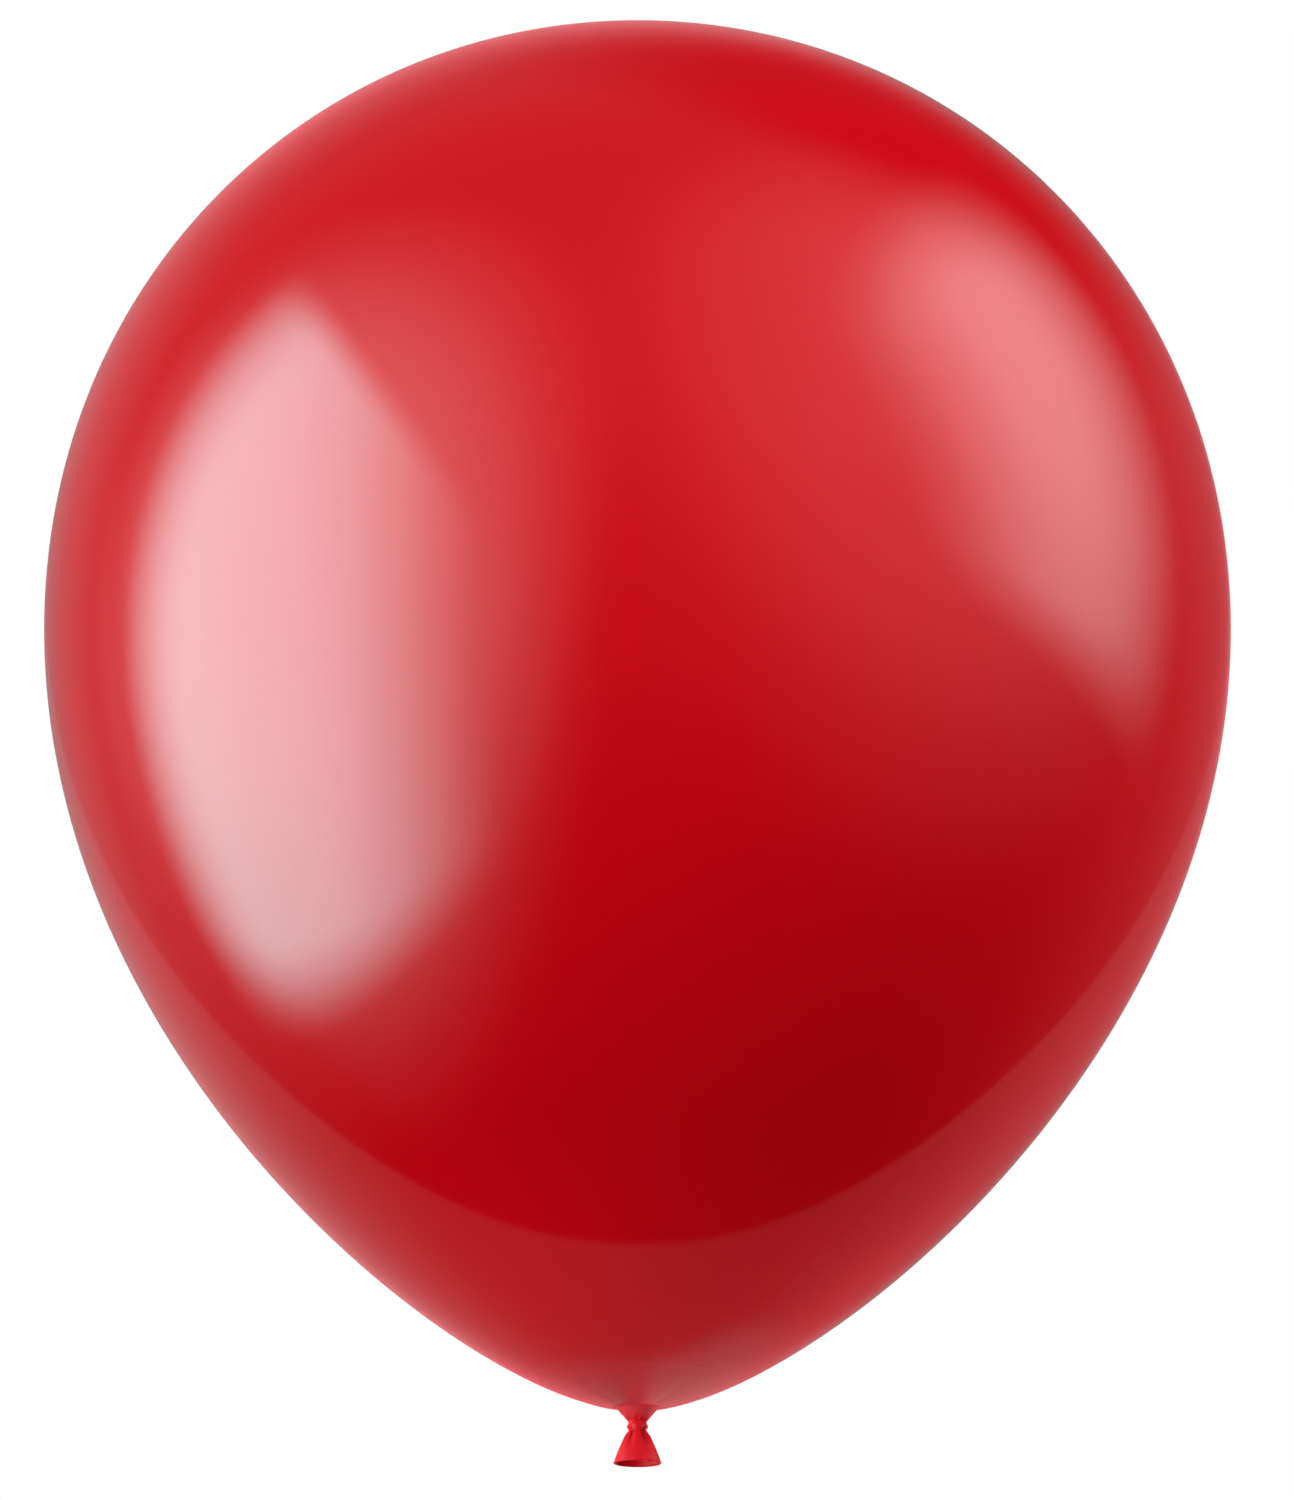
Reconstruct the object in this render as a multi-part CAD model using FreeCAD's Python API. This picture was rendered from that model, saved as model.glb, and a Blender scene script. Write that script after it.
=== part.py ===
"""Round latex balloon, inflated and closed with its own knot.

Millimetres, +Z up, neck down. The origin is the centre of the neck's waist, just above the knot.
One dipped skin makes the whole balloon, so the sub-parts are the stretches of it that bend
against each other. Where they bend, both sides follow balls about the same centre.
"""
import FreeCAD, Part
import math
import os

# Driving dimensions of the inflated body.
body_radius = 165.0
crown_height = 169.3     # from the widest level up to the crown
drop_height = 219.3      # from the widest level down to the neck's seat
skin = 0.3               # thickness of the body's and the tail's wall

# How full the body's curve is, as shares of the size that each handle runs along.
crown_fullness = 0.5525
shoulder_fullness = 0.5711
hip_fullness = 0.5465
base_fullness = 0.2737
base_rise = 0.032

# The gathered neck: a cone from the body's seat down to the waist.
seat_radius = 6.4
seat_height = 4.2
waist_radius = 2.43
neck_roof = 0.45

# The knot: a band wrapped round a strand, about the centre that the neck bends at.
knot_height = -1.17
band_radius = 2.92
band_inner_radius = 1.75
band_seat_half_height = 0.8
pinch_ball = 1.0
pinch_reach = 2.95
pinch_half_angle = 30.0
ball_clearance = 0.12
neck_socket = 3.15
cup_elevation = 25.0
plug_radius = 1.5
plug_reach = 2.7

# The tail: an open bell below the knot, about the centre that it folds at.
fold_height = -2.1
tail_socket = 3.4
tail_roof = 0.3
tail_shoulder_elevation = -25.0
tail_inner_elevation = -34.0
mouth_height = -11.2
mouth_radius = 6.5
mouth_depth_share = 0.945  # the mouth's size front to back, as a share of its width
bead_radius = 0.32
flare_radius, flare_height = 4.2, -5.2
fall_radius, fall_height = 5.95, -9.0

# Worked out from the sizes above.
equator_height = seat_height + drop_height
crown_top = equator_height + crown_height
cup_radius = pinch_ball + ball_clearance
upright = FreeCAD.Vector(0, 0, 1)


def point(radius, height):
    return FreeCAD.Vector(radius, 0, height)


def on_ball(centre_height, radius, elevation):
    """A point on a ball about the axis, at an elevation in degrees above its centre."""
    angle = math.radians(elevation)
    return point(radius * math.cos(angle), centre_height + radius * math.sin(angle))


def line(start, end):
    return Part.LineSegment(start, end).toShape()


def bezier(*poles):
    curve = Part.BezierCurve()
    curve.setPoles(list(poles))
    return curve.toShape()


def elevation_of(place, centre_height):
    return math.degrees(math.atan2(place.z - centre_height, place.x))


def ball_arc(centre_height, radius, start_elevation, end_elevation):
    """An arc of a ball's outline, between two elevations."""
    middle = (start_elevation + end_elevation) / 2
    return Part.Arc(
        on_ball(centre_height, radius, start_elevation),
        on_ball(centre_height, radius, middle),
        on_ball(centre_height, radius, end_elevation),
    ).toShape()


def meets_ball(start, end, centre_height, radius):
    """Where the line from start to end first enters a ball about the axis."""
    centre = point(0, centre_height)
    along = (end - start).normalize()
    middle = (centre - start).dot(along)
    miss = (start + along * middle - centre).Length
    return start + along * (middle - math.sqrt(radius**2 - miss**2))


def turned(edges):
    """A closed outline turned all the way round the axis."""
    face = Part.Face(Part.Wire(Part.__sortEdges__(edges)))
    return face.revolve(FreeCAD.Vector(0, 0, 0), upright, 360)


def flattened(shape):
    """The same shape, a little narrower from front to back."""
    squeeze = FreeCAD.Matrix()
    squeeze.scale(1, mouth_depth_share, 1)
    return shape.transformGeometry(squeeze)


def body_outline(inset):
    """The body's outline from the crown to the seat, set in by a wall's thickness."""
    radius = body_radius - inset
    crown = crown_height - inset
    drop = drop_height - inset
    seat = seat_height + inset
    upper = bezier(
        point(0, equator_height + crown),
        point(radius * crown_fullness, equator_height + crown),
        point(radius, equator_height + crown * shoulder_fullness),
        point(radius, equator_height),
    )
    lower = bezier(
        point(radius, equator_height),
        point(radius, equator_height - drop * hip_fullness),
        point(seat_radius + radius * base_fullness, seat + drop * base_rise),
        point(seat_radius, seat),
    )
    return [upper, lower]


def envelope():
    """The inflated skin: a thin shell with a round opening at the neck's seat."""
    crown_cut = line(point(0, crown_top - skin), point(0, crown_top))
    seat_cut = line(point(seat_radius, seat_height), point(seat_radius, seat_height + skin))
    return turned(body_outline(0) + body_outline(skin) + [crown_cut, seat_cut])


def neck():
    """The gathered cone under the body, hollow above and cupped below over the knot."""
    seat = point(seat_radius, seat_height)
    lip = point(seat_radius, seat_height + skin)
    inner_lip = point(seat_radius - skin, seat_height + skin)
    waist = point(waist_radius, 0)
    tip = meets_ball(seat, waist, knot_height, neck_socket)
    roof_reach = neck_socket + neck_roof
    roof_edge = meets_ball(inner_lip, waist - point(skin, 0), knot_height, roof_reach)
    tip_elevation = elevation_of(tip, knot_height)
    roof_elevation = elevation_of(roof_edge, knot_height)
    return turned([
        line(seat, lip),
        line(lip, inner_lip),
        line(inner_lip, roof_edge),
        ball_arc(knot_height, roof_reach, roof_elevation, 90),
        line(point(0, knot_height + roof_reach), point(0, knot_height + neck_socket)),
        ball_arc(knot_height, neck_socket, 90, tip_elevation),
        line(tip, seat),
    ])


def neck_pinch():
    """The strand between neck and knot: a ball in the knot that fans out towards the neck."""
    fan_elevation = 90 - pinch_half_angle
    fan_root = on_ball(knot_height, pinch_ball, fan_elevation)
    fan_edge = on_ball(knot_height, pinch_reach, fan_elevation)
    return turned([
        ball_arc(knot_height, pinch_ball, -90, fan_elevation),
        line(fan_root, fan_edge),
        ball_arc(knot_height, pinch_reach, fan_elevation, 90),
        line(point(0, knot_height + pinch_reach), point(0, knot_height - pinch_ball)),
    ])


def knot_core():
    """The strand inside the knot: a cup round the pinch, running down into the tail."""
    cup_rim = on_ball(knot_height, cup_radius, cup_elevation)
    cup_rise = math.tan(math.radians(cup_elevation)) * band_inner_radius
    shoulder = point(band_inner_radius, knot_height + cup_rise)
    band_foot = point(band_inner_radius, knot_height - band_seat_half_height)
    plug_elevation = -math.degrees(math.acos(plug_radius / plug_reach))
    plug_edge = on_ball(fold_height, plug_reach, plug_elevation)
    return turned([
        ball_arc(knot_height, cup_radius, -90, cup_elevation),
        line(cup_rim, shoulder),
        line(shoulder, band_foot),
        line(band_foot, plug_edge),
        ball_arc(fold_height, plug_reach, plug_elevation, -90),
        line(point(0, fold_height - plug_reach), point(0, knot_height - cup_radius)),
    ])


def knot_loop():
    """The loop of the overhand knot, pulled tight into a rounded band."""
    top = point(band_inner_radius, knot_height + band_seat_half_height)
    foot = point(band_inner_radius, knot_height - band_seat_half_height)
    bulge = Part.Arc(top, point(band_radius, knot_height), foot).toShape()
    return turned([bulge, line(foot, top)])


def tail():
    """The uninflated end of the neck: a hollow bell, closed above and open at the mouth."""
    shoulder = on_ball(fold_height, tail_socket, tail_shoulder_elevation)
    roof_reach = tail_socket + tail_roof
    inner_shoulder = on_ball(fold_height, roof_reach, tail_inner_elevation)
    flare = point(flare_radius, flare_height)
    fall = point(fall_radius, fall_height)
    mouth = point(mouth_radius, mouth_height)
    inset = point(skin, 0)
    bell = turned([
        bezier(shoulder, flare, fall, mouth),
        line(mouth, mouth - inset),
        bezier(mouth - inset, fall - inset, flare - inset, inner_shoulder),
        ball_arc(fold_height, roof_reach, tail_inner_elevation, -90),
        line(point(0, fold_height - roof_reach), point(0, fold_height - tail_socket)),
        ball_arc(fold_height, tail_socket, -90, tail_shoulder_elevation),
    ])
    return flattened(bell)


def mouth_bead():
    """The rolled lip round the mouth, half sunk over the bell's edge."""
    centre = FreeCAD.Vector(0, 0, mouth_height)
    ring = Part.makeTorus(mouth_radius - skin / 2, bead_radius, centre, upright)
    return flattened(ring)


sub_parts = {
    "envelope": envelope,
    "neck": neck,
    "neck_pinch": neck_pinch,
    "knot_core": knot_core,
    "knot_loop": knot_loop,
    "tail": tail,
    "mouth_bead": mouth_bead,
}

os.makedirs("parts", exist_ok=True)
for name, make in sub_parts.items():
    shape = make()
    shape.exportStep(f"parts/{name}.step")
    box = shape.BoundBox
    print(
        f"{name}: {shape.ShapeType}, valid {shape.isValid()}, solids {len(shape.Solids)}, "
        f"volume {shape.Volume:.1f}, z {box.ZMin:.2f} to {box.ZMax:.2f}, x to {box.XMax:.2f}"
    )
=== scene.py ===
import math

import bpy
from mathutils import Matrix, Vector


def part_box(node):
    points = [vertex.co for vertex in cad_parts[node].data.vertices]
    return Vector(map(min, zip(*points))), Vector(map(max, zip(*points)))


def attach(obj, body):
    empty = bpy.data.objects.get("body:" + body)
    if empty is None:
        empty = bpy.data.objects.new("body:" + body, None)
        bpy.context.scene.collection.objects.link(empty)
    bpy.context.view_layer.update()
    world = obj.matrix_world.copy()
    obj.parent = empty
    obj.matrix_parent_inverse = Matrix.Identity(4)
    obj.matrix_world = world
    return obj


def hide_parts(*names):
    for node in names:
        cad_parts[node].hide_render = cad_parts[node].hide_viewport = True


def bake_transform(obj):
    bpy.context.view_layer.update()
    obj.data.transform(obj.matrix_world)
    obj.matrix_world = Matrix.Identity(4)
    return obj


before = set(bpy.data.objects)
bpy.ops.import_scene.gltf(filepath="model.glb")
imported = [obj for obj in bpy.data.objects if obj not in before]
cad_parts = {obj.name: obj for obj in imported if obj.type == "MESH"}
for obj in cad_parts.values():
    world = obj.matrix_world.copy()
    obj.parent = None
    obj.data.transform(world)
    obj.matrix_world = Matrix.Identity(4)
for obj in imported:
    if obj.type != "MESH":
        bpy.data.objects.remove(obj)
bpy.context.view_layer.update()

# Everything is in metres, in the frame of the CAD model: +Z up, origin at the neck's waist.
mm = 0.001

# The body's outline, worked out from the CAD body's box.
body_low, body_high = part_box("envelope")
seat_height = body_low[2]
crown_top = body_high[2]
body_radius = (body_high[0] - body_low[0]) / 2
drop_share = 0.5643      # how much of the body's height is below its widest level
equator_height = seat_height + drop_share * (crown_top - seat_height)
seat_radius = 6.4 * mm
crown_fullness = 0.5525
shoulder_fullness = 0.5711
hip_fullness = 0.5465
base_fullness = 0.2737
base_rise = 0.032
skin = 0.3 * mm
skin_sides = 208         # how many sides the skin has round the axis

# The gathered neck, the knot and the tail.
waist_radius = 2.43 * mm
neck_seam_height = 1.4 * mm
knot_height = -1.17 * mm
band_middle_radius = 2.06 * mm
band_half_height = 0.86 * mm
tail_low, tail_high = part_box("tail")
mouth_height = tail_low[2]
mouth_radius = (tail_high[0] - tail_low[0]) / 2
mouth_depth_share = (tail_high[1] - tail_low[1]) / (tail_high[0] - tail_low[0])
tail_top_height = -1.9 * mm
bead_radius = 0.3 * mm

# Folds round the axis, as waves: (how many go round, depth, turn).
neck_waves = ((9, 0.45, 1.2), (14, 0.35, 0.3), (23, 0.2, 2.2))
tail_waves = ((5, 0.75, math.pi / 2), (9, 0.2, 2.0), (14, 0.12, 0.9))

# Heights where the skin's look starts to change and where the change is complete.
slack_span = (5 * mm, 0.5 * mm)
dull_span = (34 * mm, 5 * mm)
thick_span = (75 * mm, 5 * mm)
# The painted sheen above the neck's seat fades in over these two spans.
seat_sheen_span = (16 * mm, 4 * mm)
above_waist_span = (0.6 * mm, 2.6 * mm)
crown_span = (crown_top - 0.6 * mm, crown_top)
# The painted shade in the tail's folds fades in over these two spans.
fold_top_span = (-1.8 * mm, -2.3 * mm)
fold_foot_span = (-7.5 * mm, -3.0 * mm)

# The latex's colours, linear. A pair is the two ends of a mottled colour.
pale_reds = ((0.61, 0.0016, 0.0062, 1), (0.68, 0.0022, 0.0080, 1))
limp_reds = ((0.72, 0.0080, 0.0180, 1), (0.84, 0.0130, 0.0270, 1))
crown_red = (0.52, 0.0012, 0.0045, 1)
thick_red = (0.84, 0.0030, 0.0110, 1)
# A darker red painted into the valleys of the tail's folds as shade.
painted_fold_shade = (0.40, 0.0025, 0.0080, 1)
# A painted pinkish sheen on the body just above the neck's seat.
seat_painted_sheen = (0.84, 0.055, 0.068, 1)
sheen_red = (1, 0.06, 0.09, 1)


# ---- Shapes ----

def bezier(poles, share):
    """The (radius, height) at a share of the way along a cubic curve with four poles."""
    rest = 1 - share
    weights = (rest**3, 3 * rest**2 * share, 3 * rest * share**2, share**3)
    radius = sum(weight * pole[0] for weight, pole in zip(weights, poles))
    height = sum(weight * pole[1] for weight, pole in zip(weights, poles))
    return radius, height


def curve(poles, rows):
    """Points along a cubic curve, from its first pole up to just before its last."""
    return [bezier(poles, row / rows) for row in range(rows)]


def smooth_step(low, high, value):
    share = min(max((value - low) / (high - low), 0), 1)
    return share * share * (3 - 2 * share)


def folds(angle, waves):
    """Uneven folds round the axis: a sum of waves, each (count, depth, turn)."""
    return sum(depth * math.cos(count * angle + turn) for count, depth, turn in waves)


def around(radius, angle, height, depth_share=1):
    return Vector((radius * math.cos(angle), radius * math.sin(angle) * depth_share, height))


def finish_mesh(name, vertices, faces, material, thickness=0):
    """A smooth-shaded object from vertices and faces, with a wall if it has a thickness."""
    mesh = bpy.data.meshes.new(name)
    mesh.from_pydata(vertices, [], faces)
    mesh.polygons.foreach_set("use_smooth", [True] * len(mesh.polygons))
    mesh.materials.append(material)
    piece = bpy.data.objects.new(name, mesh)
    bpy.context.scene.collection.objects.link(piece)
    if thickness:
        wall = piece.modifiers.new("wall", "SOLIDIFY")
        wall.thickness = thickness
        wall.offset = -1
    return piece


def turned_piece(name, outline, sides, place, material, thickness=0):
    """A surface round the axis, from (radius, height) points going down.

    place(radius, height, angle) gives each vertex. A point on the axis becomes one vertex.
    """
    vertices, rings = [], []
    for radius, height in outline:
        count = sides if radius > 0 else 1
        rings.append(range(len(vertices), len(vertices) + count))
        vertices += [place(radius, height, math.tau * side / sides) for side in range(count)]
    faces = []
    for upper, lower in zip(rings, rings[1:]):
        for side in range(sides):
            after = (side + 1) % sides
            if len(upper) == 1:
                faces.append((upper[0], lower[side], lower[after]))
            elif len(lower) == 1:
                faces.append((upper[side], lower[0], upper[after]))
            else:
                faces.append((upper[side], lower[side], lower[after], upper[after]))
    return finish_mesh(name, vertices, faces, material, thickness)


def looped_piece(name, rings, material, closed):
    """A tube through rings of vertices. It closes on itself, or has a face at each end."""
    sides = len(rings[0])
    vertices = [vertex for ring in rings for vertex in ring]
    faces = []
    spans = len(rings) if closed else len(rings) - 1
    for span in range(spans):
        start = span * sides
        end = (span + 1) % len(rings) * sides
        for side in range(sides):
            after = (side + 1) % sides
            faces.append((start + side, start + after, end + after, end + side))
    if not closed:
        faces.append(tuple(reversed(range(sides))))
        faces.append(tuple(range(len(vertices) - sides, len(vertices))))
    return finish_mesh(name, vertices, faces, material)


# ---- Shader nodes ----

class Graph:
    """Adds shader nodes to a tree, with each input given as a number or another's output."""

    def __init__(self, tree):
        self.tree = tree
        tree.nodes.clear()

    def add(self, kind, inputs=None, **settings):
        made = self.tree.nodes.new(kind)
        for key, value in settings.items():
            setattr(made, key, value)
        for key, value in (inputs or {}).items():
            if isinstance(value, bpy.types.NodeSocket):
                self.tree.links.new(value, made.inputs[key])
            else:
                made.inputs[key].default_value = value
        return made

    def math(self, operation, *values):
        return self.add("ShaderNodeMath", dict(enumerate(values)), operation=operation).outputs[0]

    def smooth(self, value, low, high):
        """0 below low and 1 above high, with a smooth step between."""
        return self.add(
            "ShaderNodeMapRange",
            {"Value": value, "From Min": low, "From Max": high},
            interpolation_type="SMOOTHSTEP",
        ).outputs["Result"]

    def mix(self, share, first, second):
        """A colour between two colours."""
        made = self.add("ShaderNodeMix", data_type="RGBA")
        for index, value in ((0, share), (6, first), (7, second)):
            if isinstance(value, bpy.types.NodeSocket):
                self.tree.links.new(value, made.inputs[index])
            else:
                made.inputs[index].default_value = value
        return made.outputs[2]

    def dot(self, vector, direction):
        return self.add(
            "ShaderNodeVectorMath", {0: vector, 1: direction}, operation="DOT_PRODUCT"
        ).outputs["Value"]

    def noise(self, vector, scale, detail):
        return self.add(
            "ShaderNodeTexNoise", {"Vector": vector, "Scale": scale, "Detail": detail}
        ).outputs["Fac"]


def new_material(name):
    material = bpy.data.materials.new(name)
    material.use_nodes = True
    return material, Graph(material.node_tree)


def close_material(graph, surface):
    graph.add("ShaderNodeOutputMaterial", {"Surface": surface.outputs[0]})


def fold_shade(graph, place, height):
    """How deep a place is in the tail's widest folds, just below the knot, 0 to 1: the share of painted
    shade there.
    """
    valley_start, deepest = 0.1, 0.8
    count, _, turn = tail_waves[0]
    parts = graph.add("ShaderNodeSeparateXYZ", {0: place})
    angle = graph.math("ARCTAN2", parts.outputs["Y"], parts.outputs["X"])
    wave = graph.math("COSINE", graph.math("MULTIPLY_ADD", angle, count, turn))
    valley = graph.math("MULTIPLY", graph.smooth(wave, valley_start, -1.0), deepest)
    upper = graph.smooth(height, *fold_top_span)
    lower = graph.smooth(height, *fold_foot_span)
    return graph.math("MULTIPLY", graph.math("MULTIPLY", upper, lower), valley)


def latex_colour(graph, place, height, slack, cloud):
    """Pale where the skin is stretched, stronger towards the neck, mottled where it is slack, with painted
    shade in the tail's folds and a painted pinkish sheen just above the neck's seat.
    """
    speckle_scale, mottle_scale = 2600, 500
    crown_share = 0.5
    near_neck = graph.smooth(height, *thick_span)
    # Painted pinkish sheen just above the neck's seat.
    seat_sheen_share = graph.math(
        "MULTIPLY", graph.smooth(height, *seat_sheen_span), graph.smooth(height, *above_waist_span)
    )
    near_crown = graph.math("MULTIPLY", graph.smooth(height, *crown_span), crown_share)
    speckle = graph.noise(place, speckle_scale, 1)
    shade = graph.math("ADD", graph.math("MULTIPLY", cloud, 0.5), graph.math("MULTIPLY", speckle, 0.5))
    pale = graph.mix(shade, *pale_reds)
    thick = graph.mix(near_neck, graph.mix(near_crown, pale, crown_red), thick_red)
    limp = graph.mix(graph.noise(place, mottle_scale, 2), *limp_reds)
    # Painted shade in the valleys of the tail's folds.
    limp = graph.mix(fold_shade(graph, place, height), limp, painted_fold_shade)
    return graph.mix(seat_sheen_share, graph.mix(slack, thick, limp), seat_painted_sheen)


def latex(name, specular_level):
    """Red latex: thin and glossy where it is stretched, dull and creased where it is slack."""
    cloud_scale, ripple_scale, crease_scale = 9, 700, 2600
    crease_stretch = (1, 1, 0.25)
    gloss_low, gloss_high = 0.05, 0.07
    dull_roughness, crease_roughness = 0.32, 0.1
    material, graph = new_material(name)
    place = graph.add("ShaderNodeTexCoord").outputs["Object"]
    height = graph.add("ShaderNodeSeparateXYZ", {0: place}).outputs["Z"]
    slack = graph.smooth(height, *slack_span)
    dull = graph.smooth(height, *dull_span)
    cloud = graph.noise(place, cloud_scale, 2)
    along = graph.add("ShaderNodeMapping", {"Vector": place, "Scale": crease_stretch}).outputs["Vector"]
    crease = graph.math("MULTIPLY", graph.noise(along, crease_scale, 3), slack)
    ripple = graph.noise(place, ripple_scale, 2)
    taut = graph.add("ShaderNodeBump", {"Height": ripple, "Strength": 0.02, "Distance": 0.1 * mm})
    creased = graph.add("ShaderNodeBump", {
        "Height": crease,
        "Strength": 0.25,
        "Distance": 0.05 * mm,
        "Normal": taut.outputs["Normal"],
    })
    gloss = graph.add("ShaderNodeMapRange", {"Value": cloud, "To Min": gloss_low, "To Max": gloss_high})
    matt = graph.math("MULTIPLY_ADD", crease, crease_roughness, dull_roughness)
    roughness = graph.math("MAXIMUM", gloss.outputs["Result"], graph.math("MULTIPLY", matt, dull))
    surface = graph.add("ShaderNodeBsdfPrincipled", {
        "Base Color": latex_colour(graph, place, height, slack, cloud),
        "Roughness": roughness,
        "IOR": 1.52,
        "Specular IOR Level": specular_level,
        "Sheen Weight": 0.6,
        "Sheen Roughness": 0.25,
        "Sheen Tint": sheen_red,
        "Normal": creased.outputs["Normal"],
    })
    close_material(graph, surface)
    return material


# ---- The balloon's pieces ----

def body_skin(material):
    """The inflated skin, with faint pleats where it runs into the neck."""
    pleat_depth = 0.10 * mm
    pleat_peak = 9 * mm
    pleat_end = 30 * mm
    crown = crown_top - equator_height
    drop = equator_height - seat_height
    upper = [
        (0, crown_top),
        (body_radius * crown_fullness, crown_top),
        (body_radius, equator_height + crown * shoulder_fullness),
        (body_radius, equator_height),
    ]
    lower = [
        (body_radius, equator_height),
        (body_radius, equator_height - drop * hip_fullness),
        (seat_radius + body_radius * base_fullness, seat_height + drop * base_rise),
        (seat_radius, seat_height),
    ]

    def place(radius, height, angle):
        if height >= equator_height:
            return around(radius, angle, height)
        pleated = smooth_step(seat_radius, pleat_peak, radius) * smooth_step(pleat_end, pleat_peak, radius)
        return around(radius, angle, height + pleat_depth * pleated * folds(angle, neck_waves))

    outline = curve(upper, 70) + curve(lower, 90) + [(seat_radius, seat_height)]
    return turned_piece("body_skin", outline, skin_sides, place, material, skin)


def neck_place(radius, height, angle):
    """The gathered neck's pleats: none at the seat, deepest at the waist, slightly twisted."""
    pleat_depth = 0.17 * mm
    twist = 0.5
    gathered = smooth_step(seat_height, 0, height)
    pleated = radius + pleat_depth * gathered * folds(angle + twist * gathered, neck_waves)
    return around(pleated, angle, height)


def neck_outline(top, bottom, rows):
    """Points down the neck's cone, rounding into the waist."""
    slope = (seat_radius - waist_radius) / seat_height
    rounding = 0.35 * mm
    points = []
    for row in range(rows + 1):
        height = top + (bottom - top) * row / rows
        cone = math.hypot(max(height, 0) * slope, rounding) - rounding
        points.append((waist_radius + cone, height))
    return points


def neck_skin(material):
    outline = neck_outline(seat_height, neck_seam_height, 18)
    outline[0] = (seat_radius, seat_height)
    return turned_piece("neck_skin", outline, skin_sides, neck_place, material, skin)


def pinch_skin(material):
    outline = neck_outline(neck_seam_height, knot_height, 22)
    return turned_piece("pinch_skin", outline, skin_sides, neck_place, material, skin)


def knot_band(material):
    """The loop of the overhand knot: a rolled band with creases that run round it."""
    steps, sides = 144, 40
    rolls, roll_depth, roll_turns = 5, 0.05, 2
    lump_depth = 0.05
    lump_waves = ((3, 0.6, 0.8), (5, 0.4, 2.0))
    rings = []
    for step in range(steps):
        angle = math.tau * step / steps
        lump = 1 + lump_depth * folds(angle, lump_waves)
        ring = []
        for side in range(sides):
            turn = math.tau * side / sides
            roll = 1 + roll_depth * math.cos(rolls * turn + roll_turns * angle)
            reach = band_half_height * lump * roll
            ring.append(around(
                band_middle_radius + reach * math.cos(turn), angle,
                knot_height + reach * math.sin(turn),
            ))
        rings.append(ring)
    return looped_piece("knot_band", rings, material, closed=True)


def knot_wrap(material):
    """The strand that crosses the front of the band, from the neck down to the tail."""
    steps, sides = 48, 48
    reach = 2.35 * mm
    half_width = 1.6 * mm
    half_thickness = 0.8 * mm
    half_turn = math.radians(54)
    end_width_share = 0.55
    least_swell = 0.02
    creases, crease_depth, crease_twist = 7, 0.03, 1.5
    rings = []
    for step in range(steps + 1):
        share = 2 * step / steps - 1
        tilt = half_turn * share
        swell = math.sqrt(max(1 - share**2, least_swell))
        width = half_width * (end_width_share + (1 - end_width_share) * swell)
        ring = []
        for side in range(sides):
            turn = math.tau * side / sides
            crease = 1 + crease_depth * math.cos(creases * turn + crease_twist * share)
            across = width * math.cos(turn) * crease
            out = reach + half_thickness * swell * math.sin(turn) * crease
            ring.append(Vector((across, -out * math.cos(tilt), knot_height - out * math.sin(tilt))))
        rings.append(ring)
    return looped_piece("knot_wrap", rings, material, closed=False)


def knot_strand(material):
    """The strand inside the knot, which closes the top of the tail's bell."""
    strand_radius = 1.75 * mm
    strand_waves = ((7, 0.08 * mm, 0.4), (11, 0.05 * mm, 1.0))
    outline = [
        (0, knot_height + 0.8 * mm),
        (1.2 * mm, knot_height + 0.6 * mm),
        (strand_radius, knot_height),
        (strand_radius, tail_top_height),
        (1.5 * mm, tail_top_height - 1.0 * mm),
        (0.8 * mm, tail_top_height - 1.7 * mm),
        (0, tail_top_height - 1.9 * mm),
    ]

    def place(radius, height, angle):
        return around(radius + folds(angle, strand_waves) * (radius > 0), angle, height)

    strand = turned_piece("knot_strand", outline, 64, place, material)
    smooth = strand.modifiers.new("smooth", "SUBSURF")
    smooth.levels = smooth.render_levels = 2
    return strand


def tail_skin(material):
    """The bell below the knot, with folds that fade towards the mouth."""
    fold_depth = 0.5 * mm
    fade_power = 1.5
    top_fold_share, top_fold_end = 0.45, 0.12
    poles = [
        (2.1 * mm, tail_top_height),
        (3.7 * mm, -4.2 * mm),
        (6.15 * mm, -9.2 * mm),
        (mouth_radius, mouth_height),
    ]

    def place(radius, height, angle):
        fallen = smooth_step(tail_top_height, mouth_height, height)
        opened = top_fold_share + (1 - top_fold_share) * smooth_step(0, top_fold_end, fallen)
        fold = fold_depth * (1 - fallen) ** fade_power * opened
        depth_share = 1 + (mouth_depth_share - 1) * fallen
        return around(radius + fold * folds(angle, tail_waves), angle, height, depth_share)

    outline = curve(poles, 70) + [poles[-1]]
    return turned_piece("tail_skin", outline, skin_sides, place, material, skin)


def mouth_rim(material):
    """The rolled lip round the mouth."""
    steps, sides = 144, 20
    middle = mouth_radius - skin / 2
    rings = []
    for step in range(steps):
        angle = math.tau * step / steps
        ring = []
        for side in range(sides):
            turn = math.tau * side / sides
            ring.append(around(
                middle + bead_radius * math.cos(turn), angle,
                mouth_height + bead_radius * math.sin(turn), mouth_depth_share,
            ))
        rings.append(ring)
    return looped_piece("mouth_rim", rings, material, closed=True)


# ---- The studio ----

def direction(azimuth, elevation):
    """A unit vector. Azimuth 0 points at the viewer, along -Y, and 90 to the right, along +X."""
    turn, lift = math.radians(azimuth), math.radians(elevation)
    return Vector((
        math.sin(turn) * math.cos(lift),
        -math.cos(turn) * math.cos(lift),
        math.sin(lift),
    ))


studio_centre = Vector((0, 0, equator_height))
panel_distance = 6.0


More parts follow.
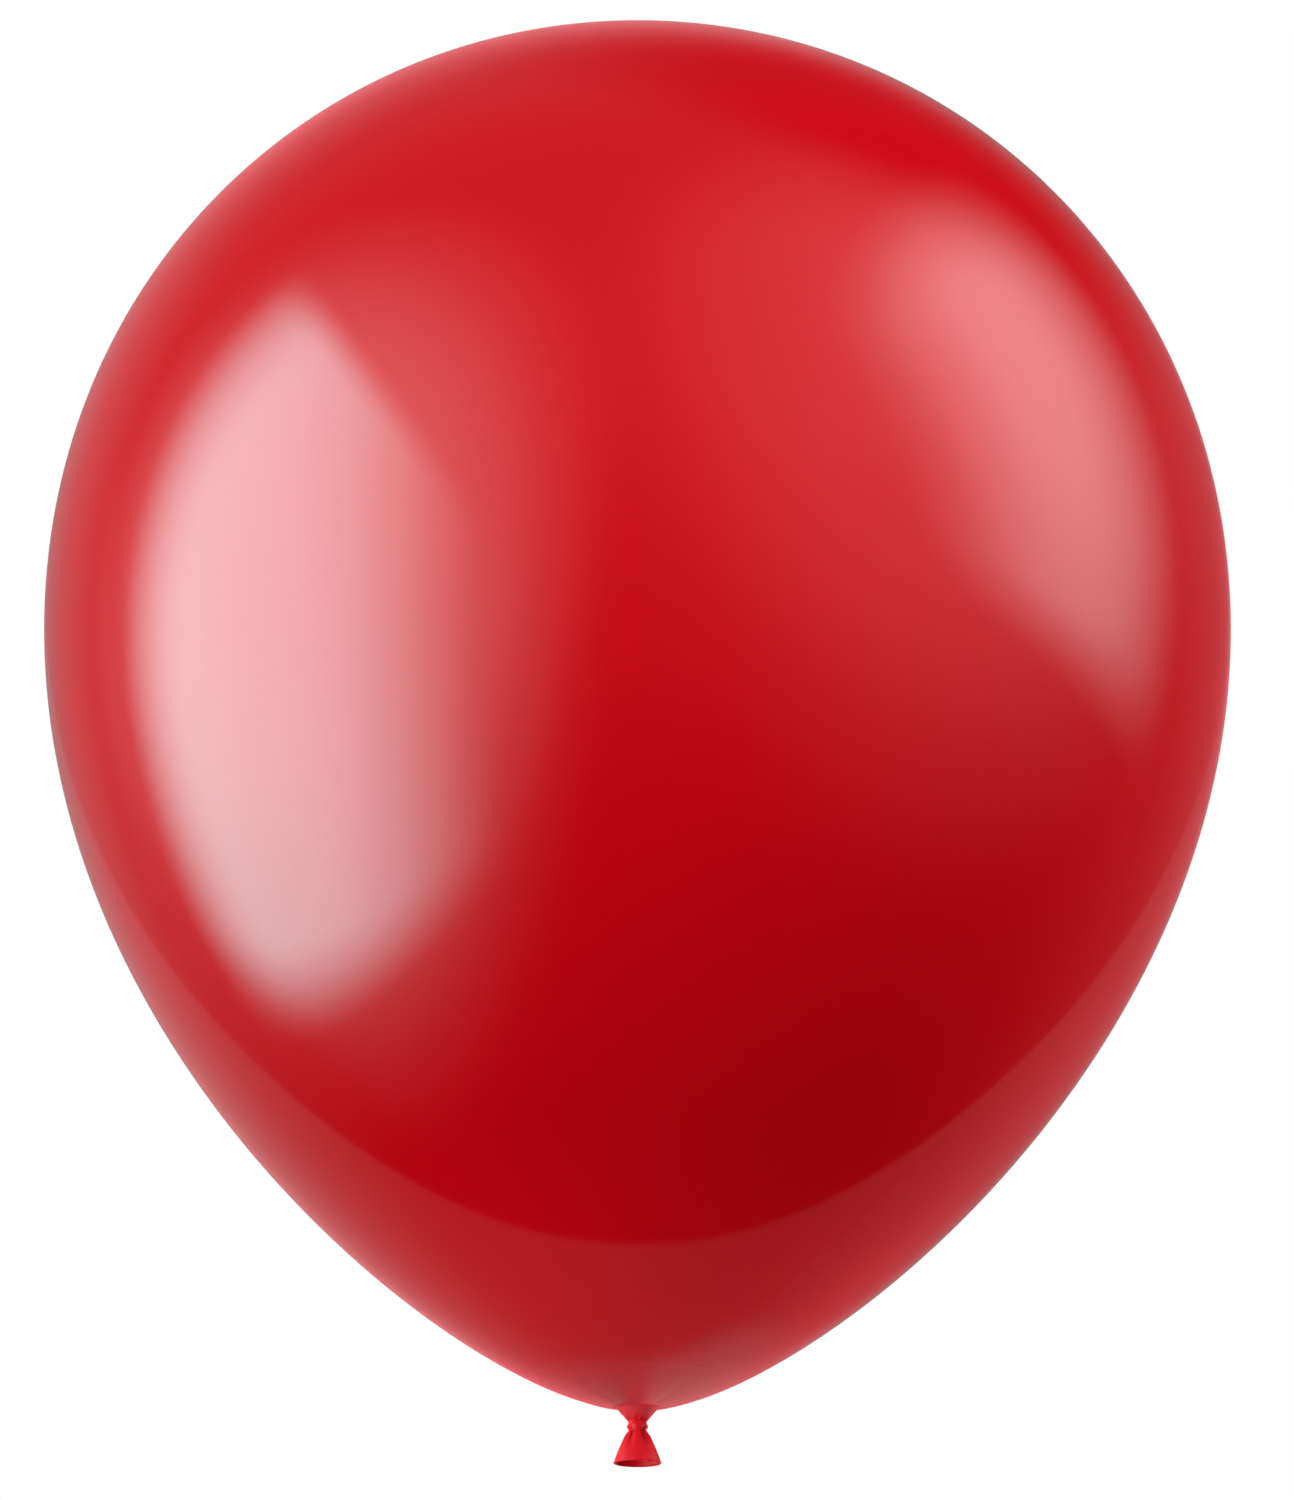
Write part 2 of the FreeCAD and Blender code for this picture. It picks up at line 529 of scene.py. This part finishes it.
def softbox(name, corners, fades, radiance, colour):
    """A lit panel that shows in gloss only, with its own fade, in degrees, along each edge.

    corners are (azimuth, elevation) from the balloon, anticlockwise as seen from there.
    Light from other panels passes through it, so panels that overlap add up.
    """
    points = [direction(*corner) for corner in corners]
    mesh = bpy.data.meshes.new(name)
    mesh.from_pydata([studio_centre + point * panel_distance for point in points], [], [(0, 1, 2, 3)])
    material, graph = new_material(name)
    place = graph.add("ShaderNodeNewGeometry").outputs["Position"]
    ray = graph.add("ShaderNodeVectorMath", {0: place, 1: studio_centre}, operation="SUBTRACT").outputs[0]
    ray = graph.add("ShaderNodeVectorMath", {0: ray}, operation="NORMALIZE").outputs[0]
    strength = radiance
    for start, end, fade in zip(points, points[1:] + points[:1], fades):
        inward = end.cross(start).normalized()
        edge = graph.smooth(graph.dot(ray, inward), 0, math.sin(math.radians(fade)))
        strength = graph.math("MULTIPLY", strength, edge)
    glow = graph.add("ShaderNodeEmission", {"Color": colour, "Strength": strength})
    clear = graph.add("ShaderNodeBsdfTransparent")
    close_material(graph, graph.add("ShaderNodeAddShader", {0: glow.outputs[0], 1: clear.outputs[0]}))
    mesh.materials.append(material)
    panel = bpy.data.objects.new(name, mesh)
    bpy.context.scene.collection.objects.link(panel)
    panel.visible_camera = False
    panel.visible_diffuse = False
    panel.visible_shadow = False


def fill_light(name, azimuth, elevation, power):
    """A large soft lamp that lights the colour and leaves no reflection."""
    distance, size = 3.0, 2.6
    data = bpy.data.lights.new(name, "AREA")
    data.shape = "DISK"
    data.size = size
    data.energy = power
    lamp = bpy.data.objects.new(name, data)
    back = direction(azimuth, elevation)
    lamp.location = studio_centre + back * distance
    lamp.rotation_euler = back.to_track_quat("Z", "Y").to_euler()
    lamp.visible_glossy = False
    lamp.visible_camera = False
    bpy.context.scene.collection.objects.link(lamp)


def studio_world():
    """A white room to look at, and a dim one to reflect, lit from above and by the wall behind."""
    ceiling_glow, ceiling_from, ceiling_full = 0.15, -0.73, 0.62
    wall_glow, wall_left_glow, left_span = 0.14, 0.04, (0.5, -0.5)
    wall_slope, wall_curve = 0.77, 0.28
    wall_from, wall_full = 0.785, 0.803
    flag_depth, flag_direction, flag_half_angle = 0.95, direction(150, 50), math.radians(32)
    world = bpy.data.worlds.new("studio")
    bpy.context.scene.world = world
    world.use_nodes = True
    graph = Graph(world.node_tree)
    ray = graph.add("ShaderNodeTexCoord").outputs["Generated"]
    parts = graph.add("ShaderNodeSeparateXYZ", {0: ray})
    right, back, up = parts.outputs
    above = graph.smooth(up, ceiling_from, ceiling_full)
    bowed = graph.math("MULTIPLY", graph.math("POWER", right, 2.0), wall_curve)
    wall_edge = graph.math("ADD", graph.math("MULTIPLY", up, wall_slope), bowed)
    behind = graph.smooth(graph.math("SUBTRACT", back, wall_edge), wall_from, wall_full)
    leftward = graph.smooth(right, *left_span)
    wall = graph.math("ADD", wall_glow, graph.math("MULTIPLY", leftward, wall_left_glow))
    ceiling = graph.math("MULTIPLY", above, ceiling_glow)
    glow = graph.math("MAXIMUM", ceiling, graph.math("MULTIPLY", behind, wall))
    flag = graph.smooth(graph.dot(ray, flag_direction), math.cos(flag_half_angle), 1.0)
    flagged = graph.math("SUBTRACT", 1.0, graph.math("MULTIPLY", flag, flag_depth))
    white = (1, 1, 1, 1)
    dim_strength = graph.math("MULTIPLY", glow, flagged)
    dim = graph.add("ShaderNodeBackground", {"Color": white, "Strength": dim_strength})
    bright = graph.add("ShaderNodeBackground", {"Color": white, "Strength": 1.0})
    seen = graph.add("ShaderNodeLightPath").outputs["Is Camera Ray"]
    both = graph.add("ShaderNodeMixShader", {0: seen, 1: dim.outputs[0], 2: bright.outputs[0]})
    graph.add("ShaderNodeOutputWorld", {"Surface": both.outputs[0]})


def studio_floor():
    """A plain pale floor, far below the balloon, which is clear when it is seen from under it."""
    half, floor_height, own_glow = 14.0, -1.1, 0.6
    mesh = bpy.data.meshes.new("floor")
    corners = [(-half, -half), (half, -half), (half, half), (-half, half)]
    mesh.from_pydata([(x, y, floor_height) for x, y in corners], [], [(0, 1, 2, 3)])
    material, graph = new_material("floor")
    place = graph.add("ShaderNodeTexCoord").outputs["Object"]
    colour = graph.mix(graph.noise(place, 3, 4), (0.80, 0.79, 0.78, 1), (0.84, 0.83, 0.82, 1))
    plain = graph.add("ShaderNodeBsdfPrincipled", {
        "Base Color": colour,
        "Roughness": 0.7,
        "Emission Color": colour,
        "Emission Strength": own_glow,
    })
    underside = graph.add("ShaderNodeNewGeometry").outputs["Backfacing"]
    clear = graph.add("ShaderNodeBsdfTransparent")
    close_material(graph, graph.add(
        "ShaderNodeMixShader", {0: underside, 1: plain.outputs[0], 2: clear.outputs[0]}
    ))
    mesh.materials.append(material)
    floor = bpy.data.objects.new("floor", mesh)
    bpy.context.scene.collection.objects.link(floor)
    floor.visible_glossy = False
    floor.visible_diffuse = False
    floor.visible_shadow = False


def studio_lights():
    """Tinted panels for the gloss, each with its corners and fades, and lamps for the colour."""
    cool, plain = (0.42, 0.97, 1, 1), (0.8, 0.98, 1, 1)
    warm, red = (1.25, 0.98, 1, 1), (2.6, 0.98, 1, 1)
    softbox("left_softbox", [(-105, 48), (-26, 11), (-27, -40), (-126, -25)], [7, 48, 10, 25], 6.8, cool)
    softbox("left_halo", [(-126, 35), (20, 73), (-9, -53), (-142, -12)], [5, 65, 50, 81], 2.8, warm)
    softbox("right_softbox", [(35, 47), (148, 45), (125, -9), (55, 0)], [18, 81, 12, 57], 5.0, plain)
    softbox("right_halo", [(-53, 55), (130, 5), (12, -48), (-2, -28)], [33, 81, 81, 81], 0.67, red)
    softbox("back_softbox", [(160, 53), (-128, 47), (-109, -50), (160, -50)], [50, 3, 80, 18], 0.2, plain)
    for name, azimuth, elevation, power in (
        ("top_fill", 40, 42, 57),
        ("left_fill", -42, -12, 76),
        ("right_fill", 92, 7, 48),
        ("back_left_fill", -128, 14, 75),
        ("back_low_fill", 157, -30, 98),
        ("back_top_fill", 180, 50, 67),
    ):
        fill_light(name, azimuth, elevation, power)


def camera():
    """A long lens below the balloon's middle, looking up a little."""
    distance, looking_up = 6.0, 11.0
    aim = Vector((2.64 * mm, 0, 189.24 * mm))
    data = bpy.data.cameras.new("camera")
    data.sensor_width = 36.0
    data.lens = 518.3
    data.clip_start, data.clip_end = 0.1, 60.0
    made = bpy.data.objects.new("camera", data)
    back = direction(0, -looking_up)
    made.location = aim + back * distance
    made.rotation_euler = back.to_track_quat("Z", "Y").to_euler()
    bpy.context.scene.collection.objects.link(made)
    bpy.context.scene.camera = made


# ---- Putting it together ----

bpy.context.scene.view_settings.view_transform = "Standard"
camera()
studio_world()
studio_floor()
studio_lights()

stretched = latex("stretched_latex", 0.5)
gathered = latex("gathered_latex", 0.12)

body = body_skin(stretched)
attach(body, "balloon")
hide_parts("envelope")

neck = neck_skin(gathered)
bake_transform(neck)
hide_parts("neck")

pinch = pinch_skin(gathered)
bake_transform(pinch)
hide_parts("neck_pinch")

band = knot_band(gathered)
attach(band, "knot")
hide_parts("knot_loop")

wrap = knot_wrap(gathered)
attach(wrap, "knot")
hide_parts("knot_loop")

strand = knot_strand(gathered)
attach(strand, "knot")
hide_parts("knot_core")

tail = tail_skin(gathered)
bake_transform(tail)
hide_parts("tail")

rim = mouth_rim(gathered)
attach(rim, "tail")
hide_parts("mouth_bead")
